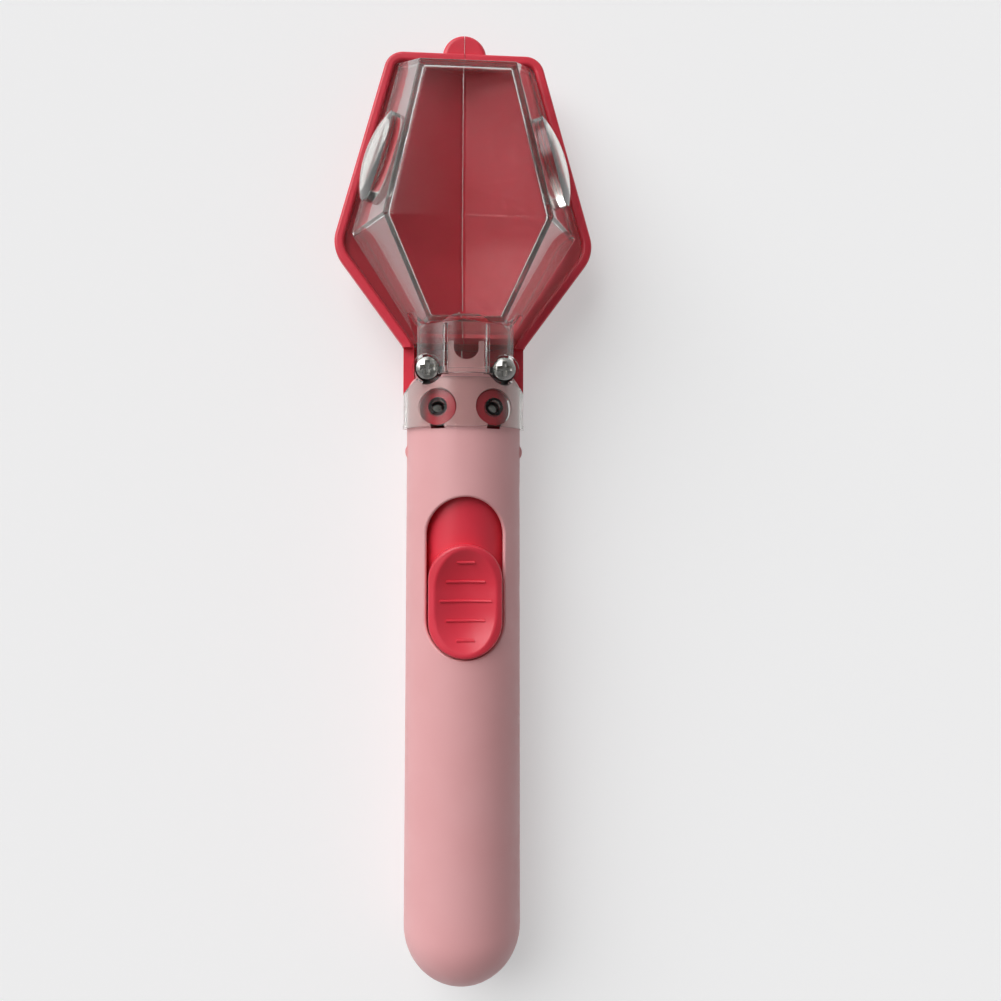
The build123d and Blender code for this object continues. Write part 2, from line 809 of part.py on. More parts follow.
with BuildPart() as door_tail:
    with BuildSketch(Plane.XY.offset(axis_height + tail_low)):
        with Locations(left_pivot):
            Circle(tail_half_width)
        with Locations(closed_pin):
            Circle(tail_end_radius)
        make_hull()
    extrude(amount=tail_high - tail_low)
    add(
        round_bar(handle_neck_radius - handle_wall - tail_shell_gap, pivot_y + hub_radius, 0),
        mode=Mode.INTERSECT,
    )

with BuildPart() as left_door:
    # Tray with its rim, tab and neck, drawn whole and halved at the seam
    with BuildSketch():
        add(head_outline(0))
        with Locations((0, neck_y + beyond)):
            Rectangle(4 * beyond, 2 * beyond, mode=Mode.INTERSECT)
    extrude(amount=rim_z)
    for plane in floor_planes():
        split(bisect_by=plane.offset(floor_thick), keep=Keep.BOTTOM)
    fillet(left_door.edges().sort_by_distance(floor_deepest)[0], tray_round + floor_thick)
    with BuildSketch(Plane.XY.offset(axis_height - tab_low)):
        with Locations((0, tab_top_y - tab_radius)):
            Circle(tab_radius)
    extrude(amount=tab_thick)
    with BuildSketch(across(neck_front_y + neck_wall)):
        Circle(neck_half)
        with Locations((0, (neck_floor_z + tray_z) / 2 - axis_height)):
            Rectangle(2 * neck_half, tray_z - neck_floor_z, mode=Mode.INTERSECT)
    extrude(amount=neck_front_y + neck_wall - neck_rear_y)
    with BuildSketch(across(neck_front_y)):
        Circle(neck_half - neck_side_wall)
        with Locations((0, beyond + neck_floor_z + neck_wall - axis_height)):
            Rectangle(2 * neck_half, 2 * beyond, mode=Mode.INTERSECT)
    extrude(amount=neck_front_y - neck_rear_y, mode=Mode.SUBTRACT)
    add(tray_room(floor_planes()), mode=Mode.SUBTRACT)
    add(tray_room(bevel_planes()), mode=Mode.SUBTRACT)
    with BuildSketch(Plane.XY.offset(tray_z)):
        add(head_outline(door_wall))
    extrude(amount=beyond, mode=Mode.SUBTRACT)
    # Recess over the pivot boss, hub and tail
    add(door_web.part)
    with BuildSketch():
        with Locations(left_pivot):
            Circle(boss_radius + boss_clearance)
    extrude(amount=web_z, mode=Mode.SUBTRACT)
    with BuildSketch(Plane.XY.offset(web_z)):
        with Locations(left_pivot):
            Circle(hub_radius)
    extrude(amount=axis_height + tail_high - web_z)
    add(door_tail.part)
    with BuildSketch(Plane.XY.offset(web_z)):
        with Locations(left_pivot):
            Circle(post_radius + post_running_gap)
    extrude(amount=beyond, mode=Mode.SUBTRACT)
    # Holes for the drive pin and the end of the spring
    with BuildSketch(Plane.XY.offset(axis_height + pin_low)):
        with Locations(closed_pin):
            Circle(pin_radius)
    extrude(amount=beyond, mode=Mode.SUBTRACT)
    with BuildSketch(Plane.YZ.offset(-spring_seat_half)):
        with Locations((spring_y, spring_axis_z)):
            Circle(spring_seat_radius)
    extrude(amount=spring_seat_half, mode=Mode.SUBTRACT)
    split(bisect_by=Plane.YZ.offset(-seam_gap / 2), keep=Keep.BOTTOM)
    # Softened tab and rim
    tab_arcs = left_door.edges().filter_by(GeomType.CIRCLE).filter_by_position(Axis.Y, tip_y, tab_top_y)
    fillet(tab_arcs.sort_by(Axis.Z)[-1], tab_round)
    rim_edges = left_door.edges().group_by(Axis.Z)[-1]
    fillet(rim_edges.filter_by(lambda edge: edge.length > door_wall + rim_round / 2), rim_round)
write(left_door, "left_door")

with BuildPart() as right_door:
    mirror(left_door.part, about=Plane.YZ)
write(right_door, "right_door")


# Steel drive pins in the tails
with BuildPart() as left_drive_pin:
    with BuildSketch(Plane.XY.offset(axis_height + pin_low)):
        with Locations(closed_pin):
            Circle(pin_radius)
    extrude(amount=pin_top - pin_low)
write(left_drive_pin, "left_drive_pin")

with BuildPart() as right_drive_pin:
    mirror(left_drive_pin.part, about=Plane.YZ)
write(right_drive_pin, "right_drive_pin")


# Red bushes round the clear posts, under the windows
with BuildPart() as pivot_bushes:
    with BuildSketch(Plane.XY.offset(axis_height + bush_low)):
        with Locations(*pivot_spots):
            Circle(bush_radius)
            Circle(post_radius + post_running_gap, mode=Mode.SUBTRACT)
    extrude(amount=beyond)
    add(round_bar(bush_top_radius, top_front_y, collar_rear_y), mode=Mode.INTERSECT)
write(pivot_bushes, "pivot_bushes")


# Spring between the tails
spring_arcs = spring_path()
with BuildPart() as door_spring:
    with BuildLine():
        for start, end, heading in spring_arcs:
            TangentArc(start, end, tangent=heading)
    with BuildSketch(Plane(origin=spring_arcs[0][0], z_dir=spring_arcs[0][2])):
        Circle(spring_wire_radius)
    sweep()
write(door_spring, "door_spring")


# Thumb slider: button, curved skirt under the slot and two posts
skirt_front_y = slot_front_y + skirt_front_lap
skirt_rear_y = slot_front_y - slot_length - skirt_rear_lap - slider_travel
button_end = button_half * button_oval_share
dish_z = axis_height + button_top - dish_depth + dish_radius
dish_axis = Axis((0, button_centre_y, dish_z), (0, 1, 0))
dish_plane = Plane(origin=dish_axis.position, x_dir=(0, 1, 0), z_dir=(1, 0, 0))
middle_bar = (len(grip_bar_lengths) - 1) / 2
grip_bar_runs = [(number - middle_bar) * grip_bar_pitch for number in range(len(grip_bar_lengths))]

with BuildPart() as thumb_dish:
    with BuildSketch(dish_plane):
        SlotOverall(2 * (dish_half_straight + dish_radius), 2 * dish_radius)
        with Locations((0, -beyond)):
            Rectangle(4 * beyond, 2 * beyond, mode=Mode.INTERSECT)
    revolve(axis=dish_axis)

with BuildPart() as grip_bars:
    with BuildSketch(dish_plane):
        for run in grip_bar_runs:
            past_straight = max(abs(run) - dish_half_straight, 0)
            with Locations((run, -sqrt(dish_radius ** 2 - past_straight ** 2))):
                Circle(grip_bar_radius)
    revolve(axis=dish_axis)
    with BuildSketch(Plane.XY.offset(axis_height)):
        for run, length in zip(grip_bar_runs, grip_bar_lengths):
            with Locations((0, button_centre_y + run)):
                SlotOverall(length, 4 * grip_bar_radius)
    extrude(amount=dish_z - axis_height, mode=Mode.INTERSECT)

with BuildPart() as button:
    with BuildSketch(Plane.XY.offset(axis_height)):
        with Locations((0, button_centre_y)):
            Rectangle(2 * button_half, button_length - 2 * button_end)
        with Locations((0, button_rear_y + button_end), (0, button_rear_y + button_length - button_end)):
            Ellipse(button_half, button_end)
    extrude(amount=beyond)
    crown_height = button_top - button_crown_radius
    add(round_bar(button_crown_radius, skirt_front_y, skirt_rear_y, crown_height), mode=Mode.INTERSECT)
    add(round_bar(skirt_inner_radius, skirt_front_y, skirt_rear_y), mode=Mode.SUBTRACT)
    skirt_top = axis_height + skirt_outer_radius
    fillet(button.edges().filter_by(lambda edge: edge.bounding_box().min.Z > skirt_top), button_round)
    add(thumb_dish.part, mode=Mode.SUBTRACT)
    crown = button.faces().filter_by(lambda face: face.inner_wires())[0]
    fillet(crown.inner_wires()[0].edges(), dish_round)

with BuildPart() as slider_posts:
    with BuildSketch(Plane.XY.offset(axis_height + carriage_half_thick)):
        with Locations(*carriage_screw_spots):
            Circle(skirt_post_radius)
    extrude(amount=beyond)
    add(round_bar(skirt_outer_radius, skirt_front_y, skirt_rear_y), mode=Mode.INTERSECT)

with BuildPart() as thumb_slider:
    with BuildSketch(across(skirt_front_y)):
        Circle(skirt_outer_radius)
        Circle(skirt_inner_radius, mode=Mode.SUBTRACT)
        with Locations((0, skirt_outer_radius)):
            Rectangle(2 * skirt_half_width, 2 * skirt_outer_radius, mode=Mode.INTERSECT)
    extrude(amount=skirt_front_y - skirt_rear_y)
    add(button.part)
    add(grip_bars.part)
    add(slider_posts.part)
    with BuildSketch(Plane.XY.offset(axis_height + carriage_half_thick)):
        with Locations(*carriage_screw_spots):
            Circle(carriage_screw_radius)
    extrude(amount=carriage_screw_reach, mode=Mode.SUBTRACT)
write(thumb_slider, "thumb_slider")


# Slider carriage: plate on the rails with the cam yoke in front
with BuildPart() as slider_carriage:
    with BuildSketch(Plane.XY.offset(axis_height - carriage_half_thick)):
        with Locations((0, (spine_rear_y + yoke_rear_y) / 2)):
            Rectangle(2 * spine_half_width, yoke_rear_y - spine_rear_y)
        with Locations((0, (yoke_rear_y + yoke_front_y) / 2)):
            Rectangle(2 * yoke_half_width, yoke_front_y - yoke_rear_y)
        with Locations(*carriage_screw_spots):
            Circle(carriage_screw_radius, mode=Mode.SUBTRACT)
    extrude(amount=2 * carriage_half_thick)
    face_points = cam_face()
    with BuildSketch(Plane.XY.offset(axis_height - carriage_half_thick)):
        with BuildLine():
            Spline(*face_points)
            Polyline(face_points[-1], (face_points[-1][0], yoke_mouth_rear_y), (0, yoke_mouth_rear_y))
            Polyline((0, yoke_front_y), (face_points[0][0], yoke_front_y), face_points[0])
            mirror(about=Plane.YZ)
        make_face()
    extrude(amount=2 * carriage_half_thick, mode=Mode.SUBTRACT)
write(slider_carriage, "slider_carriage")


# Fasteners
def screws(spots, seat_z, up, head_radius, head_height, shank_radius, tip_z):
    """Pan-head cross-recess screws whose heads sit on one height, shanks on the other side."""
    way = 1 if up else -1
    rise = head_height * (1 - pan_head_edge_share)
    dome_radius = (head_radius ** 2 + rise ** 2) / (2 * rise)
    with BuildPart() as form:
        with BuildSketch(Plane.XY.offset(seat_z)):
            with Locations(*spots):
                Circle(head_radius)
        extrude(amount=way * head_height)
        with Locations(*[(x, y, seat_z + way * (head_height - dome_radius)) for x, y in spots]):
            Sphere(dome_radius, mode=Mode.INTERSECT)
        with BuildSketch(Plane.XY.offset(seat_z + way * head_height)):
            with Locations(*spots):
                Rectangle(2 * head_radius * cross_length_share, 2 * head_radius * cross_width_share)
                Rectangle(2 * head_radius * cross_width_share, 2 * head_radius * cross_length_share)
        extrude(amount=-way * head_height * cross_depth_share, taper=cross_taper, mode=Mode.SUBTRACT)
        with BuildSketch(Plane.XY.offset(seat_z)):
            with Locations(*spots):
                Circle(shank_radius)
        extrude(amount=tip_z - seat_z)
    return form


chamber_screws = screws(
    ear_spots, axis_height + ear_top, True, pan_head_radius, pan_head_height,
    chamber_screw_radius, axis_height + ear_low - chamber_screw_reach,
)
pivot_screws = screws(
    pivot_spots, pivot_recess_depth - washer_thick, False, pivot_head_radius, pivot_head_height,
    pivot_screw_radius, axis_height + pivot_screw_tip,
)
shell_screws = screws(
    shell_screw_spots, shell_recess_depth, False, shell_head_radius, shell_head_height,
    shell_screw_radius, axis_height + parting_gap / 2 + shell_screw_reach,
)
carriage_screws = screws(
    carriage_screw_spots, axis_height - carriage_half_thick, False, carriage_head_radius,
    carriage_head_height, carriage_screw_radius, axis_height + carriage_half_thick + carriage_screw_reach,
)
with BuildPart() as pivot_washers:
    with BuildSketch(Plane.XY.offset(pivot_recess_depth - washer_thick)):
        with Locations(*pivot_spots):
            Circle(washer_radius)
            Circle(pivot_screw_radius, mode=Mode.SUBTRACT)
    extrude(amount=washer_thick)
write(chamber_screws, "chamber_screws")
write(pivot_screws, "pivot_screws")
write(shell_screws, "shell_screws")
write(carriage_screws, "carriage_screws")
write(pivot_washers, "pivot_washers")
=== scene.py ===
import math

import bmesh
import bpy
from bpy.props import (
    FloatProperty,
    FloatVectorProperty,
    PointerProperty,
)
from bpy.types import Operator, Panel, PropertyGroup
from mathutils import Euler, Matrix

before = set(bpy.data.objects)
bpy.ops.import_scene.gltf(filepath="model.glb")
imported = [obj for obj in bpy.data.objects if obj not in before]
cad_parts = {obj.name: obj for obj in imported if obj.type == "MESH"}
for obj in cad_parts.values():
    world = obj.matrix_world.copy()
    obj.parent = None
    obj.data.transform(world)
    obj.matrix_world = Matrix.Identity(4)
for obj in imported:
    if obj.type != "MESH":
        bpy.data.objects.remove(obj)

bl_info = {
    "name": "Insect catcher",
    "version": (1, 0, 0),
    "blender": (4, 5, 0),
    "location": "View3D > Sidebar > Catcher",
    "description": "Finishes a hand-held insect catcher and lights it on a pale floor",
    "category": "Object",
}

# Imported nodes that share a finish
HANDLE_SHELLS = ("top_shell", "bottom_shell")
DOORS = ("left_door", "right_door")
SMALL_MOULDINGS = ("thumb_slider", "slider_carriage", "pivot_bushes")
LENSES = ("left_lens", "right_lens")
TURNED_STEEL = (
    "chamber_screws",
    "pivot_screws",
    "shell_screws",
    "carriage_screws",
    "pivot_washers",
    "left_drive_pin",
    "right_drive_pin",
)

# Noise stays between these two values nearly everywhere
NOISE_LOW = 0.33
NOISE_HIGH = 0.67
# Mottling and plating patches against the size of the feature beside them
MOTTLE_SHARE = 1 / 6
PATCH_SHARE = 4
# Camera sensor in millimetres, and the nearest and farthest things seen in metres
SENSOR_WIDTH = 36
CLIP_START = 0.01
CLIP_END = 50


def linear(red, green, blue):
    """A colour given as screen values from 0 to 255, in the linear values that shaders take."""
    def one(value):
        share = value / 255
        return share / 12.92 if share <= 0.04045 else ((share + 0.055) / 1.055) ** 2.4

    return one(red), one(green), one(blue)


def colour(name, description, default):
    return FloatVectorProperty(
        name=name, description=description, subtype="COLOR", size=3, min=0, max=1, default=default
    )


def length(name, description, default):
    return FloatProperty(
        name=name, description=description, unit="LENGTH", min=0, precision=5, default=default
    )


def share(name, description, default):
    return FloatProperty(
        name=name, description=description, subtype="FACTOR", min=0, max=1, default=default
    )


def amount(name, description, default):
    return FloatProperty(name=name, description=description, min=0, default=default)


def angle(name, description, default):
    return FloatProperty(
        name=name, description=description, unit="ROTATION", default=math.radians(default)
    )


def place(name, description, default):
    return FloatVectorProperty(
        name=name, description=description, subtype="TRANSLATION", size=3, precision=4,
        default=default,
    )


class HandlePlastic(PropertyGroup):
    base: colour("Colour", "Colour of the handle moulding", linear(240, 178, 179))
    deep: colour("Deeper tint", "Colour that slow variations go towards", linear(237, 173, 174))
    roughness: share("Roughness", "Mean roughness of the satin surface", 0.42)
    roughness_spread: share("Roughness spread", "How far the roughness varies", 0.07)
    index: amount("Refraction", "Index of refraction of the moulding", 1.5)
    grain_size: length("Grain size", "Size of the mould's fine grain", 0.00035)
    grain_height: length("Grain height", "Height of the mould's fine grain", 0.000006)
    wave_size: length("Wave size", "Size of slow waves in the moulded face", 0.018)
    wave_height: length("Wave height", "Height of slow waves in the moulded face", 0.000018)


class RedPlastic(PropertyGroup):
    base: colour("Colour", "Colour of the doors and slider", linear(234, 62, 80))
    deep: colour("Deeper tint", "Colour that slow variations go towards", linear(228, 55, 72))
    roughness: share("Roughness", "Mean roughness of the moulded face", 0.34)
    roughness_spread: share("Roughness spread", "How far the roughness varies", 0.04)
    index: amount("Refraction", "Index of refraction of the moulding", 1.5)
    grain_size: length("Grain size", "Size of the mould's fine grain", 0.0003)
    grain_height: length("Grain height", "Height of the mould's fine grain", 0.000005)
    wave_size: length("Wave size", "Size of slow waves in the moulded face", 0.014)
    wave_height: length("Wave height", "Height of slow waves in the moulded face", 0.00004)


class ClearPlastic(PropertyGroup):
    base: colour("Tint", "Tint of the clear moulding", linear(250, 251, 248))
    index: amount("Refraction", "Index of refraction of the clear moulding", 1.4)
    roughness: share("Roughness", "Roughness of the clear faces", 0.03)
    roughness_spread: share("Roughness spread", "How far the roughness varies", 0.03)
    ripple_size: length("Ripple size", "Size of the flow marks in the moulding", 0.012)
    ripple_height: length("Ripple height", "Height of the flow marks", 0.00004)
    haze: share("Haze", "Share of light that the steep faces scatter", 0.11)
    hazy_below: share("Hazy below", "Upright part of the normal where the haze is full", 0.6)
    clear_above: share("Clear above", "Upright part of the normal where the haze ends", 0.86)
    speck_size: length("Speck size", "Size of fine marks from handling", 0.0009)
    speck_height: length("Speck height", "Height of fine marks from handling", 0.000003)


class LensPlastic(PropertyGroup):
    base: colour("Tint", "Tint of the lenses", linear(246, 249, 244))
    index: amount("Refraction", "Index of refraction of the lenses", 1.53)
    roughness: share("Roughness", "Roughness of the lens faces", 0.02)
    roughness_spread: share("Roughness spread", "How far the roughness varies", 0.02)
    ripple_size: length("Ripple size", "Size of the faint waves in the lens", 0.009)
    ripple_height: length("Ripple height", "Height of the faint waves", 0.00001)
    haze: share("Haze", "Share of light that the steep faces scatter", 0.03)
    hazy_below: share("Hazy below", "Upright part of the normal where the haze is full", 0.6)
    clear_above: share("Clear above", "Upright part of the normal where the haze ends", 0.86)
    speck_size: length("Speck size", "Size of fine marks from handling", 0.0008)
    speck_height: length("Speck height", "Height of fine marks from handling", 0.000002)


class BrightSteel(PropertyGroup):
    base: colour("Colour", "Colour of the plated steel", (0.74, 0.73, 0.7))
    stain: colour("Stain", "Colour of the duller patches", (0.42, 0.41, 0.38))
    roughness: share("Roughness", "Mean roughness of the plating", 0.24)
    roughness_spread: share("Roughness spread", "How far the roughness varies", 0.16)
    mark_size: length("Mark size", "Size of the drawing and rolling marks", 0.0005)
    mark_height: length("Mark height", "Height of the drawing and rolling marks", 0.000006)


class StudioStage(PropertyGroup):
    floor: colour("Floor", "Colour of the floor", linear(208, 208, 208))
    floor_lift: share("Floor lift", "Light that the floor shows the camera besides its own", 0.41)
    floor_reach: length("Floor reach", "Half the side of the floor", 3.0)
    floor_roughness: share("Floor roughness", "Roughness of the floor", 0.9)
    floor_sheen: share("Floor sheen", "Specular level of the floor", 0.1)
    world: colour("Surroundings", "Colour of the surroundings", linear(240, 240, 241))
    horizon_strength: amount("Horizon strength", "Light from the surroundings at floor level", 0.54)
    zenith_strength: amount("Zenith strength", "Light from the surroundings overhead", 0.12)
    through_strength: amount("Least strength", "Least light seen through the clear parts", 0.22)
    seen_strength: amount("Seen strength", "Strength of the surroundings as seen directly", 1.0)
    key_strength: amount("Key strength", "Light from the middle of the soft key glow", 4.5)
    key_elevation: angle("Key height", "Angle of the key glow above the floor", 38)
    key_azimuth: angle("Key turn", "Angle of the key glow from the left side to the head", 46)
    key_inner: angle("Key core", "Half angle of the evenly bright core of the key glow", 10)
    key_outer: angle("Key reach", "Half angle at which the key glow has faded out", 38)


class PhotoCamera(PropertyGroup):
    position: place("Position", "Place of the camera", (-0.0115, -0.0025, 0.27195))
    tilt: angle("Tilt", "Turn about X", 0.77)
    roll: angle("Roll", "Turn about Y", -4.72)
    turn: angle("Turn", "Turn about Z", 0.15)
    focal_length: amount("Focal length", "Focal length in millimetres", 35.37)


class CatcherSettings(PropertyGroup):
    handle: PointerProperty(type=HandlePlastic)
    red: PointerProperty(type=RedPlastic)
    clear: PointerProperty(type=ClearPlastic)
    lens: PointerProperty(type=LensPlastic)
    steel: PointerProperty(type=BrightSteel)
    stage: PointerProperty(type=StudioStage)
    camera: PointerProperty(type=PhotoCamera)


# Node trees

def add_node(tree, kind, links=(), **values):
    """A node with its values set, and its inputs linked to the sockets given as (name, socket)."""
    made = tree.nodes.new(kind)
    for name, value in values.items():
        made.inputs[name.replace("_", " ")].default_value = value
    for name, socket in links:
        tree.links.new(socket, made.inputs[name])
    return made


def fresh_material(name):
    """A node material with only a shader and its output, and the shader and tree of it."""
    material = bpy.data.materials.new(name)
    material.use_nodes = True
    tree = material.node_tree
    shader = tree.nodes["Principled BSDF"]
    return material, tree, shader


def calculated(tree, operation, *values):
    """The result of a Math node on sockets and plain numbers."""
    made = tree.nodes.new("ShaderNodeMath")
    made.operation = operation
    for index, value in enumerate(values):
        if isinstance(value, bpy.types.NodeSocket):
            tree.links.new(value, made.inputs[index])
        else:
            made.inputs[index].default_value = value
    return made.outputs[0]


def noise(tree, coordinates, size, detail=2.0, roughness=0.5):
    """Noise whose features measure about size."""
    made = add_node(
        tree, "ShaderNodeTexNoise", [("Vector", coordinates)],
        Scale=1 / size, Detail=detail, Roughness=roughness,
    )
    return made.outputs["Fac"]


def spread(tree, factor, low, high):
    """A value between low and high, as the noise goes over its usual range."""
    made = add_node(
        tree, "ShaderNodeMapRange", [("Value", factor)],
        From_Min=NOISE_LOW, From_Max=NOISE_HIGH, To_Min=low, To_Max=high,
    )
    return made.outputs["Result"]


def mixed_colour(tree, factor, first, second):
    """The first colour where the factor is 0, the second where it is 1."""
    made = tree.nodes.new("ShaderNodeMix")
    made.data_type = "RGBA"
    ends = [socket for socket in made.inputs if socket.type == "RGBA"]
    ends[0].default_value = (*first, 1)
    ends[1].default_value = (*second, 1)
    tree.links.new(factor, made.inputs["Factor"])
    return [socket for socket in made.outputs if socket.type == "RGBA"][0]


def bumps(tree, layers):
    """Bump nodes one on the next, from (factor, height) layers with heights in metres."""
    normal = None
    for factor, height in layers:
        links = [("Height", factor)]
        if normal is not None:
            links.append(("Normal", normal))
        made = add_node(tree, "ShaderNodeBump", links, Strength=1.0, Distance=height)
        normal = made.outputs["Normal"]
    return normal


def moulded_material(name, look):
    """Opaque moulded plastic: slow tint and gloss changes, fine grain and slow waves."""
    material, tree, shader = fresh_material(name)
    where = tree.nodes.new("ShaderNodeTexCoord").outputs["Object"]
    slow = noise(tree, where, look.wave_size, detail=3)
    grain = noise(tree, where, look.grain_size, detail=2)
    mottle = noise(tree, where, look.wave_size * MOTTLE_SHARE, detail=4)
    tree.links.new(
        mixed_colour(tree, spread(tree, slow, 0, 1), look.base, look.deep),
        shader.inputs["Base Color"],
    )
    tree.links.new(
        spread(
            tree, mottle, look.roughness - look.roughness_spread,
            look.roughness + look.roughness_spread,
        ),
        shader.inputs["Roughness"],
    )
    tree.links.new(
        bumps(tree, [(slow, look.wave_height), (grain, look.grain_height)]),
        shader.inputs["Normal"],
    )
    shader.inputs["IOR"].default_value = look.index
    return material


def clear_material(name, look):
    """Clear moulded plastic with flow marks and fine marks, hazy on its steep faces."""
    material, tree, shader = fresh_material(name)
    coordinates = tree.nodes.new("ShaderNodeTexCoord")
    where = coordinates.outputs["Object"]
    facing = add_node(tree, "ShaderNodeSeparateXYZ", [("Vector", coordinates.outputs["Normal"])])
    clearness = add_node(
        tree, "ShaderNodeMapRange", [("Value", calculated(tree, "ABSOLUTE", facing.outputs["Z"]))],
        From_Min=look.hazy_below, From_Max=look.clear_above, To_Min=1 - look.haze, To_Max=1,
    )
    ripples = noise(tree, where, look.ripple_size, detail=1)
    specks = noise(tree, where, look.speck_size, detail=3)
    shader.inputs["Base Color"].default_value = (*look.base, 1)
    tree.links.new(clearness.outputs["Result"], shader.inputs["Transmission Weight"])
    shader.inputs["IOR"].default_value = look.index
    tree.links.new(
        spread(tree, specks, look.roughness, look.roughness + look.roughness_spread),
        shader.inputs["Roughness"],
    )
    tree.links.new(
        bumps(tree, [(ripples, look.ripple_height), (specks, look.speck_height)]),
        shader.inputs["Normal"],
    )
    return material


def steel_material(name, look):
    """Plated steel with duller patches and fine drawing marks."""
    material, tree, shader = fresh_material(name)
    where = tree.nodes.new("ShaderNodeTexCoord").outputs["Object"]
    patches = noise(tree, where, look.mark_size * PATCH_SHARE, detail=4, roughness=0.6)
    marks = noise(tree, where, look.mark_size, detail=4, roughness=0.6)
    tree.links.new(
        mixed_colour(tree, spread(tree, patches, 0, 1), look.base, look.stain),
        shader.inputs["Base Color"],
    )
    tree.links.new(
        spread(tree, marks, look.roughness, look.roughness + look.roughness_spread),
        shader.inputs["Roughness"],
    )
    tree.links.new(bumps(tree, [(marks, look.mark_height)]), shader.inputs["Normal"])
    shader.inputs["Metallic"].default_value = 1
    return material


def finish_nodes(names, material):
    """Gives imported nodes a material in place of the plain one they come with."""
    for name in names:
        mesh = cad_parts[name].data
        for index in range(len(mesh.materials)):
            mesh.materials[index] = material


# Operators

class CATCHER_OT_handle(Operator):
    """Finish both shells of the handle in satin plastic"""
    bl_idname = "catcher.handle"
    bl_label = "Handle shells"

    def execute(self, context):
        finish_nodes(HANDLE_SHELLS, moulded_material("satin_handle", context.scene.catcher.handle))
        return {"FINISHED"}


class CATCHER_OT_doors(Operator):
    """Finish the two dished doors"""
    bl_idname = "catcher.doors"
    bl_label = "Doors"

    def execute(self, context):
        finish_nodes(DOORS, moulded_material("door_plastic", context.scene.catcher.red))
        return {"FINISHED"}


class CATCHER_OT_slider(Operator):
    """Finish the thumb slider, its carriage and the pivot bushes"""
    bl_idname = "catcher.slider"
    bl_label = "Thumb slider and bushes"

    def execute(self, context):
        finish_nodes(SMALL_MOULDINGS, moulded_material("slider_plastic", context.scene.catcher.red))
        return {"FINISHED"}


class CATCHER_OT_chamber(Operator):
    """Finish the clear viewing chamber"""
    bl_idname = "catcher.chamber"
    bl_label = "Viewing chamber"

    def execute(self, context):
        finish_nodes(
            ("viewing_chamber",), clear_material("clear_moulding", context.scene.catcher.clear)
        )
        return {"FINISHED"}


class CATCHER_OT_lenses(Operator):
    """Finish the two magnifying lenses"""
    bl_idname = "catcher.lenses"
    bl_label = "Lenses"

    def execute(self, context):
        finish_nodes(LENSES, clear_material("lens_moulding", context.scene.catcher.lens))
        return {"FINISHED"}


class CATCHER_OT_steel(Operator):
    """Finish the screws, washers, drive pins and spring"""
    bl_idname = "catcher.steel"
    bl_label = "Steel parts"

    def execute(self, context):
        steel = context.scene.catcher.steel
        finish_nodes(TURNED_STEEL, steel_material("plated_steel", steel))
        finish_nodes(("door_spring",), steel_material("spring_wire", steel))
        return {"FINISHED"}


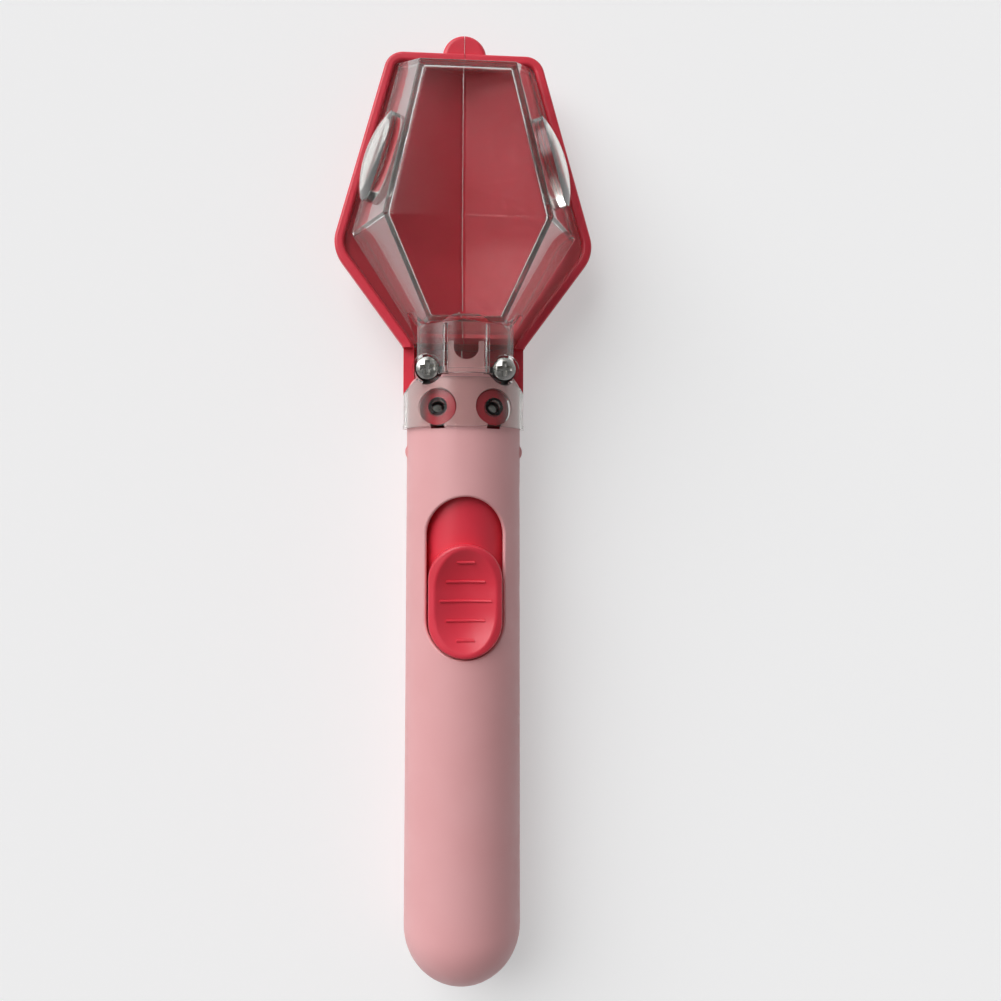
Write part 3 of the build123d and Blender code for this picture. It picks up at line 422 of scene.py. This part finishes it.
class CATCHER_OT_stage(Operator):
    """Set up the floor, the surroundings with their soft glow, and the camera"""
    bl_idname = "catcher.stage"
    bl_label = "Stage"

    def execute(self, context):
        settings = context.scene.catcher
        self.make_floor(context, settings.stage)
        self.make_world(context, settings.stage)
        self.make_camera(context, settings.camera)
        context.scene.view_settings.view_transform = "Standard"
        return {"FINISHED"}

    def make_floor(self, context, look):
        """A floor that looks as pale as in the photo without lighting the object more."""
        mesh = bpy.data.meshes.new("floor")
        shape = bmesh.new()
        bmesh.ops.create_grid(shape, x_segments=1, y_segments=1, size=look.floor_reach)
        shape.to_mesh(mesh)
        shape.free()
        floor = bpy.data.objects.new("floor", mesh)
        context.scene.collection.objects.link(floor)
        material, tree, shader = fresh_material("floor")
        shader.inputs["Base Color"].default_value = (*look.floor, 1)
        shader.inputs["Roughness"].default_value = look.floor_roughness
        shader.inputs["Specular IOR Level"].default_value = look.floor_sheen
        path = tree.nodes.new("ShaderNodeLightPath").outputs
        seen = calculated(tree, "MAXIMUM", path["Is Camera Ray"], path["Is Glossy Ray"])
        seen = calculated(tree, "MAXIMUM", seen, path["Is Transmission Ray"])
        lift = calculated(tree, "MULTIPLY", seen, look.floor_lift)
        glow = add_node(tree, "ShaderNodeEmission", [("Strength", lift)])
        both = add_node(
            tree, "ShaderNodeAddShader", [(0, shader.outputs[0]), (1, glow.outputs[0])]
        )
        tree.links.new(both.outputs[0], tree.nodes["Material Output"].inputs["Surface"])
        mesh.materials.append(material)

    def make_world(self, context, look):
        """Surroundings bright near the floor and dim overhead, with a soft glow to one side."""
        world = bpy.data.worlds.new("surroundings")
        world.use_nodes = True
        tree = world.node_tree
        path = tree.nodes.new("ShaderNodeLightPath").outputs
        background = tree.nodes["Background"]
        background.inputs["Color"].default_value = (*look.world, 1)
        way = tree.nodes.new("ShaderNodeTexCoord").outputs["Generated"]
        height = add_node(tree, "ShaderNodeSeparateXYZ", [("Vector", way)]).outputs["Z"]
        lowness = add_node(tree, "ShaderNodeMapRange", [("Value", height)], To_Min=1, To_Max=0)
        lowness = lowness.outputs["Result"]
        lit = add_node(
            tree, "ShaderNodeMapRange", [("Value", calculated(tree, "MULTIPLY", lowness, lowness))],
            To_Min=look.zenith_strength, To_Max=look.horizon_strength,
        )
        nearness = add_node(tree, "ShaderNodeVectorMath", [(0, way)])
        nearness.operation = "DOT_PRODUCT"
        nearness.inputs[1].default_value = self.key_direction(look)
        glow = add_node(
            tree, "ShaderNodeMapRange", [("Value", nearness.outputs["Value"])],
            From_Min=math.cos(look.key_outer), From_Max=math.cos(look.key_inner),
            To_Max=look.key_strength,
        )
        glow.interpolation_type = "SMOOTHERSTEP"
        total = calculated(tree, "ADD", lit.outputs["Result"], glow.outputs["Result"])
        least = calculated(tree, "MULTIPLY", path["Is Transmission Ray"], look.through_strength)
        strength = add_node(
            tree, "ShaderNodeMix",
            [("Factor", path["Is Camera Ray"]), ("A", calculated(tree, "MAXIMUM", total, least))],
            B=look.seen_strength,
        )
        tree.links.new(strength.outputs["Result"], background.inputs["Strength"])
        context.scene.world = world

    def key_direction(self, look):
        """Direction from the object towards the middle of the key glow."""
        level = math.cos(look.key_elevation)
        return (
            -level * math.cos(look.key_azimuth),
            level * math.sin(look.key_azimuth),
            math.sin(look.key_elevation),
        )

    def make_camera(self, context, look):
        data = bpy.data.cameras.new("camera")
        data.sensor_width = SENSOR_WIDTH
        data.lens = look.focal_length
        data.clip_start = CLIP_START
        data.clip_end = CLIP_END
        camera = bpy.data.objects.new("camera", data)
        camera.location = look.position
        camera.rotation_euler = Euler((look.tilt, look.roll, look.turn))
        context.scene.collection.objects.link(camera)
        context.scene.camera = camera


class CATCHER_PT_panel(Panel):
    """List the pieces of the insect catcher and their settings"""
    bl_idname = "CATCHER_PT_panel"
    bl_label = "Insect catcher"
    bl_space_type = "VIEW_3D"
    bl_region_type = "UI"
    bl_category = "Catcher"

    def draw(self, context):
        for operator, groups in BUTTONS:
            box = self.layout.box()
            box.operator(operator.bl_idname)
            for group in groups:
                settings = getattr(context.scene.catcher, group)
                for name in settings.__annotations__:
                    box.prop(settings, name)


# Each operator with the settings that it uses
BUTTONS = (
    (CATCHER_OT_handle, ("handle",)),
    (CATCHER_OT_doors, ("red",)),
    (CATCHER_OT_slider, ("red",)),
    (CATCHER_OT_chamber, ("clear",)),
    (CATCHER_OT_lenses, ("lens",)),
    (CATCHER_OT_steel, ("steel",)),
    (CATCHER_OT_stage, ("stage", "camera")),
)
GROUPS = (
    HandlePlastic,
    RedPlastic,
    ClearPlastic,
    LensPlastic,
    BrightSteel,
    StudioStage,
    PhotoCamera,
    CatcherSettings,
)


def register():
    for group in GROUPS:
        bpy.utils.register_class(group)
    for operator, _ in BUTTONS:
        bpy.utils.register_class(operator)
    bpy.utils.register_class(CATCHER_PT_panel)
    bpy.types.Scene.catcher = PointerProperty(type=CatcherSettings)


def unregister():
    del bpy.types.Scene.catcher
    bpy.utils.unregister_class(CATCHER_PT_panel)
    for operator, _ in reversed(BUTTONS):
        bpy.utils.unregister_class(operator)
    for group in reversed(GROUPS):
        bpy.utils.unregister_class(group)


def main():
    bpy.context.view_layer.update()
    register()
    bpy.ops.catcher.handle()
    bpy.ops.catcher.doors()
    bpy.ops.catcher.slider()
    bpy.ops.catcher.chamber()
    bpy.ops.catcher.lenses()
    bpy.ops.catcher.steel()
    bpy.ops.catcher.stage()


if __name__ == "__main__":
    main()
